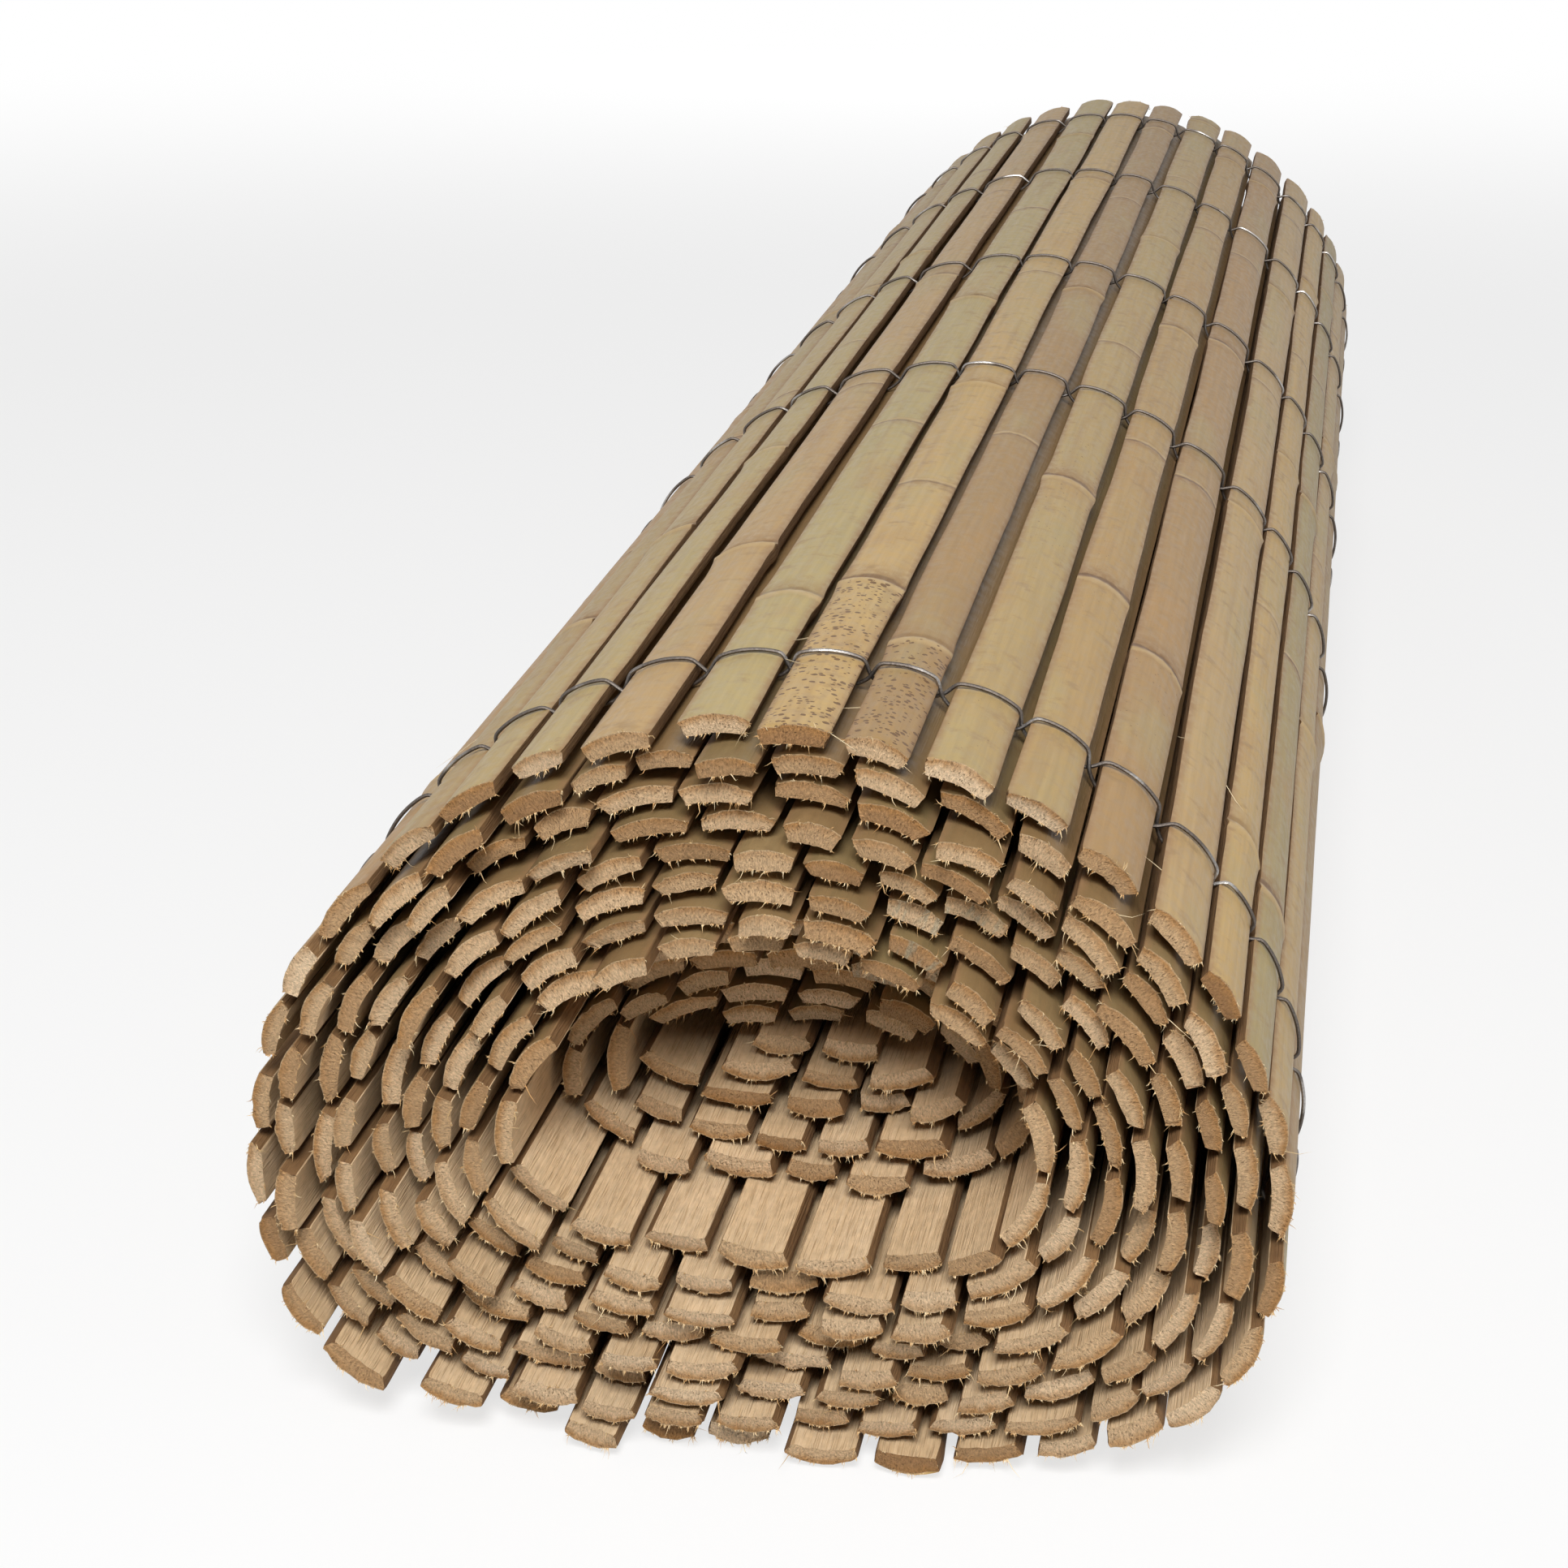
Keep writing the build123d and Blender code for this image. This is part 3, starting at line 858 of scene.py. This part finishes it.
def rind_finish():
    """Waxy rind: the slat's own colour, changed in turn by everything that has marked it."""
    finish, tree, shader, place, mark, blotches = cane_finish("cane_rind")
    grain = grain_lines(tree, place, 700.0)
    broad, small = blotches.outputs["Broad"], blotches.outputs["Small"]
    base = ramp(tree, mark("tone"), RIND_COLOURS)
    base = blend(tree, remap(tree, broad, 0.5, 0.68, 0.0, 0.4), base, (0.40, 0.32, 0.145, 1.0))
    base = blend(tree, remap(tree, broad, 0.46, 0.3, 0.0, 0.5), base, (0.40, 0.23, 0.085, 1.0))
    shade = remap(tree, sums(tree, "ADD", grain.outputs["Coarse"], small), 0.75, 1.25, 0.92, 1.07)
    base = blend(tree, 1.0, base, shade, "MULTIPLY")
    mottle = noise(tree, place, 120.0, 4.0, 0.65)
    base = blend(tree, remap(tree, mottle, 0.53, 0.7, 0.0, 0.6), base, (0.30, 0.185, 0.08, 1.0))
    # Painted shade: on the inner turns' slats the rind is mixed about two thirds of the way to dark brown,
    # for the shade between the turns.
    base = blend(tree, sums(tree, "MULTIPLY", mark("painted_shade_inside"), 0.65), base, (0.15, 0.095, 0.045, 1.0))
    streak = remap(tree, grain_lines(tree, place, 170.0).outputs["Coarse"], 0.54, 0.72, 0.0, 0.35)
    base = blend(tree, streak, base, (0.31, 0.19, 0.085, 1.0))
    patchy = remap(tree, small, 0.3, 0.6, 0.35, 0.85)
    worn = sums(tree, "MULTIPLY", remap(tree, mark("edge"), 0.7, 1.0), patchy)
    base = blend(tree, worn, base, (0.30, 0.175, 0.085, 1.0))
    past = sums(tree, "ADD", mark("past_knot"), remap(tree, mottle, 0.3, 0.7, -0.05, 0.05))
    scar = sums(tree, "MULTIPLY", remap(tree, past, -0.3, 0.15), remap(tree, past, 0.9, 0.2))
    scar = sums(tree, "MULTIPLY", scar, mark("scar"))
    scar = sums(tree, "MULTIPLY", scar, remap(tree, small, 0.3, 0.6, 0.3, 0.9))
    base = blend(tree, scar, base, (0.26, 0.145, 0.06, 1.0))
    ridge = sums(tree, "MULTIPLY", remap(tree, past, -0.16, -0.02), remap(tree, past, 0.1, 0.03))
    base = blend(tree, sums(tree, "MULTIPLY", ridge, 0.6), base, (0.54, 0.385, 0.19, 1.0))
    groove = sums(tree, "MULTIPLY", remap(tree, past, 0.1, 0.16), remap(tree, past, 0.3, 0.22))
    base = blend(tree, sums(tree, "MULTIPLY", groove, mark("scar")), base, (0.15, 0.08, 0.035, 1.0))
    ragged = put(tree, "VectorMath", {0: place, 1: mottle}, operation="ADD").outputs[0]
    ragged = put(tree, "Mix", {0: 0.0015, 4: place, 5: ragged}, data_type="VECTOR").outputs[1]
    dots = put(tree, "TexVoronoi", {"Vector": ragged, "Scale": 640.0, "Randomness": 1.0})
    size = remap(tree, dots.outputs["Color"], 0.1, 0.9, 0.05, 0.5)
    crowd = sums(tree, "MULTIPLY", mark("speckle"), remap(tree, small, 0.3, 0.6, 0.55, 1.1))
    inside = sums(tree, "SUBTRACT", sums(tree, "MULTIPLY", size, crowd), dots.outputs["Distance"])
    speck = remap(tree, inside, -0.03, 0.05)
    base = blend(tree, sums(tree, "MULTIPLY", speck, 0.9), base, (0.12, 0.058, 0.024, 1.0))
    tree.links.new(base, shader.inputs["Base Color"])
    shader.inputs["Specular IOR Level"].default_value = 0.28
    tree.links.new(remap(tree, small, 0.3, 0.7, 0.4, 0.56), shader.inputs["Roughness"])
    bump(tree, shader, sums(tree, "ADD", grain.outputs["Fine"], small), 0.0001)
    return finish


# %% The split sides and the pith
def flesh_finish(name, colours, lines, dark, rough):
    """Split wood: colours picked by coarse grain, dark lines where the fine grain is low."""
    finish, tree, shader, place, mark, blotches = cane_finish(name)
    grain = grain_lines(tree, place, lines)
    share = sums(tree, "ADD", sums(tree, "MULTIPLY", grain.outputs["Coarse"], 0.7),
                 sums(tree, "MULTIPLY", mark("tone"), 0.3))
    base = ramp(tree, share, colours)
    base = blend(tree, remap(tree, blotches.outputs["Broad"], 0.42, 0.7, 0.0, 0.45), base, (*colours[0], 1.0))
    base = blend(tree, 1.0, base, remap(tree, blotches.outputs["Small"], 0.3, 0.7, 0.91, 1.07), "MULTIPLY")
    line = remap(tree, grain.outputs["Fine"], 0.48, 0.32, 0.0, 0.65)
    base = blend(tree, line, base, dark)
    tree.links.new(base, shader.inputs["Base Color"])
    shader.inputs["Roughness"].default_value = rough
    shader.inputs["Specular IOR Level"].default_value = 0.25
    bump(tree, shader, sums(tree, "ADD", grain.outputs["Coarse"], grain.outputs["Fine"]), 0.0005)
    return finish


# The split wood's own brown, darkened by a further quarter as painted shade for the narrow gaps between slats
# where these sides lie.
SIDE_COLOURS_WITH_PAINTED_SHADE = ((0.13, 0.068, 0.028), (0.21, 0.115, 0.05), (0.32, 0.185, 0.08))
PITH_COLOURS = ((0.52, 0.345, 0.18), (0.71, 0.515, 0.31), (0.82, 0.635, 0.43))


# %% The sawn end
END_COLOURS = ((0.38, 0.205, 0.088), (0.51, 0.31, 0.152), (0.63, 0.425, 0.238), (0.73, 0.515, 0.31),
               (0.86, 0.645, 0.42))


def end_finish():
    """Grainy wood in the slat's own tone, rusty under the rind, with a thin pale line at the rind itself,
    fine pores and, where marked, a faint stain. How far the rust reaches changes from place to place."""
    finish, tree, shader, place, mark, blotches = cane_finish("cane_sawn_end")
    base = ramp(tree, mark("tone"), END_COLOURS)
    broad, small = blotches.outputs["Broad"], blotches.outputs["Small"]
    depth = sums(tree, "ADD", mark("depth"), sums(tree, "MULTIPLY", sums(tree, "SUBTRACT", small, 0.5), 0.7))
    rusty = sums(tree, "MULTIPLY", remap(tree, depth, 0.35, 0.95), remap(tree, broad, 0.3, 0.6, 0.3, 0.9))
    base = blend(tree, rusty, base, (0.45, 0.225, 0.075, 1.0))
    base = blend(tree, remap(tree, mark("depth"), 0.9, 1.0, 0.0, 0.5), base, (0.66, 0.52, 0.33, 1.0))
    torn = noise(tree, place, 1900.0, 4.0, 0.75)
    stain = sums(tree, "MULTIPLY", mark("stain"), remap(tree, small, 0.45, 0.65, 0.0, 0.4))
    base = blend(tree, stain, base, (0.36, 0.43, 0.34, 1.0))
    pores = put(tree, "TexVoronoi", {"Vector": place, "Scale": 1700.0, "Randomness": 1.0}).outputs["Distance"]
    pore = remap(tree, pores, 0.3, 0.1, 0.0, 0.4)
    base = blend(tree, pore, base, (0.30, 0.165, 0.07, 1.0))
    base = blend(tree, 1.0, base, remap(tree, torn, 0.3, 0.7, 0.68, 1.28), "MULTIPLY")
    tree.links.new(base, shader.inputs["Base Color"])
    shader.inputs["Roughness"].default_value = 0.85
    shader.inputs["Specular IOR Level"].default_value = 0.2
    bump(tree, shader, sums(tree, "SUBTRACT", torn, pore), 0.0012)
    return finish


# The split side's colours and its dark line colour carry painted shade for the gaps.
CANE = [rind_finish(), flesh_finish("cane_split_side", SIDE_COLOURS_WITH_PAINTED_SHADE, 1300.0, (0.14, 0.07, 0.03, 1.0), 0.75),
        flesh_finish("cane_pith", PITH_COLOURS, 1000.0, (0.38, 0.23, 0.11, 1.0), 0.7), end_finish()]
for piece in (outer_piece, core_piece, middle_piece):
    for finish in CANE:
        piece.data.materials.append(finish)
print("cane finishes:", ", ".join(finish.name for finish in CANE))

# %% Fibres and wire
FIBRE_COLOURS = ((0.48, 0.25, 0.085), (0.64, 0.44, 0.21), (0.80, 0.66, 0.42))


def fibre_finish():
    """Torn fibres: orange brown to straw, fibre by fibre."""
    finish, tree, shader = plain_finish("cane_fibre")
    tone = put(tree, "Attribute", attribute_name="tone").outputs["Fac"]
    tree.links.new(ramp(tree, tone, FIBRE_COLOURS), shader.inputs["Base Color"])
    shader.inputs["Roughness"].default_value = 0.7
    return finish


def wire_finish():
    """Dull galvanised wire: grey brown with bright rubbed stretches."""
    finish, tree, shader = plain_finish("binding_wire")
    place = put(tree, "TexCoord").outputs["Object"]
    slow = noise(tree, place, 70.0, 2.0)
    fine = noise(tree, place, 2200.0, 3.0)
    rubbed = remap(tree, slow, 0.54, 0.68)
    colour = blend(tree, rubbed, (0.13, 0.11, 0.095, 1.0), (0.42, 0.40, 0.38, 1.0))
    colour = blend(tree, 1.0, colour, remap(tree, fine, 0.3, 0.7, 0.7, 1.1), "MULTIPLY")
    tree.links.new(colour, shader.inputs["Base Color"])
    shader.inputs["Metallic"].default_value = 0.9
    tree.links.new(remap(tree, rubbed, 0.0, 1.0, 0.5, 0.28), shader.inputs["Roughness"])
    bump(tree, shader, fine, 0.00006)
    return finish


fibre = fibre_finish()
for piece in fibre_pieces:
    piece.data.materials.append(fibre)
wire = wire_finish()
for piece in wire_pieces:
    piece.data.materials.append(wire)
print("wire and fibre finishes done")

# %% [markdown]
# ## The studio
#
# A pale floor that the camera sees as nearly white, yet still with the roll's shadow; one soft lamp high in
# front, which reaches the pith of the lower slats but not the gaps, weaker ones at the right and low behind,
# and a little light from all round. The camera stands a little to the right of the roll, above its near end.

# %% Floor and light
FLOOR_HALF = 30.0
FADE_START, FADE_END = 0.8, 2.2


def seen_directly(tree):
    """One for rays from the camera, a mirror or glass, and none for those that only carry light."""
    rays = put(tree, "LightPath")
    seen = sums(tree, "ADD", rays.outputs["Is Camera Ray"], rays.outputs["Is Glossy Ray"], True)
    return sums(tree, "ADD", seen, rays.outputs["Is Transmission Ray"], True)


def make_floor():
    """A wide flat square. The camera and mirror-like surfaces see it mixed with plain white, and as nothing
    but white further off, so that it has no edge."""
    corners = [(x * FLOOR_HALF, y * FLOOR_HALF, 0.0) for x, y in ((-1, -1), (1, -1), (1, 1), (-1, 1))]
    mesh = bpy.data.meshes.new("floor")
    mesh.from_pydata(corners, [], [(0, 1, 2, 3)])
    floor = bpy.data.objects.new("floor", mesh)
    bpy.context.scene.collection.objects.link(floor)
    finish, tree, shader = plain_finish("pale_floor")
    shader.inputs["Base Color"].default_value = (0.86, 0.86, 0.86, 1.0)
    shader.inputs["Roughness"].default_value = 0.9
    white = put(tree, "Emission", {"Color": (1.0, 1.0, 1.0, 1.0), "Strength": 1.0})
    place = put(tree, "TexCoord").outputs["Object"]
    away = put(tree, "VectorMath", {0: place}, operation="LENGTH").outputs["Value"]
    share = sums(tree, "MULTIPLY", seen_directly(tree), remap(tree, away, FADE_START, FADE_END, 0.72, 1.0))
    mixed = put(tree, "MixShader", {0: share, 1: shader.outputs[0], 2: white.outputs[0]})
    tree.links.new(mixed.outputs[0], tree.nodes["Material Output"].inputs["Surface"])
    mesh.materials.append(finish)


def lamp(name, place, aim, size, power, mirrored=True):
    """A square soft lamp at a place, turned to face a point, which shiny surfaces mirror or not."""
    light = bpy.data.lights.new(name, "AREA")
    light.size, light.energy = size, power
    holder = bpy.data.objects.new(name, light)
    holder.location = place
    holder.visible_camera, holder.visible_glossy = False, mirrored
    holder.rotation_euler = (Vector(aim) - Vector(place)).to_track_quat("-Z", "Y").to_euler()
    bpy.context.scene.collection.objects.link(holder)


def make_world(strength):
    """Even light from all round; seen directly it is plain white."""
    world = bpy.data.worlds.new("studio")
    bpy.context.scene.world = world
    world.use_nodes = True
    tree = world.node_tree
    background = tree.nodes["Background"]
    background.inputs["Color"].default_value = (1.0, 1.0, 1.0, 1.0)
    tree.links.new(remap(tree, seen_directly(tree), 0.0, 1.0, strength, 1.0), background.inputs["Strength"])


make_floor()
make_world(strength=0.09)
lamp("key", place=(0.2, -1.95, 1.75), aim=(0.0, -0.4, 0.08), size=0.9, power=62.0)
lamp("fill", place=(1.5, -0.7, 1.6), aim=(0.0, -0.2, 0.1), size=1.4, power=2.5)
lamp("back", place=(-0.4, 2.4, 0.22), aim=(0.0, 0.5, 0.08), size=0.5, power=18.0, mirrored=False)
bpy.context.scene.view_settings.view_transform = "Standard"
print("lamps:", [light.name for light in bpy.data.lights])

# %% Camera
CAMERA_PLACE = (0.1176, -1.1618, 0.3883)
CAMERA_YAW = -9.86
CAMERA_PITCH = 19.30

camera = bpy.data.cameras.new("camera")
camera.sensor_width = 36.0
camera.lens = 75.07
camera.clip_start = 0.01
viewer = bpy.data.objects.new("camera", camera)
viewer.location = CAMERA_PLACE
viewer.rotation_euler = (math.radians(90 - CAMERA_PITCH), 0.0, math.radians(-CAMERA_YAW))
bpy.context.scene.collection.objects.link(viewer)
bpy.context.scene.camera = viewer
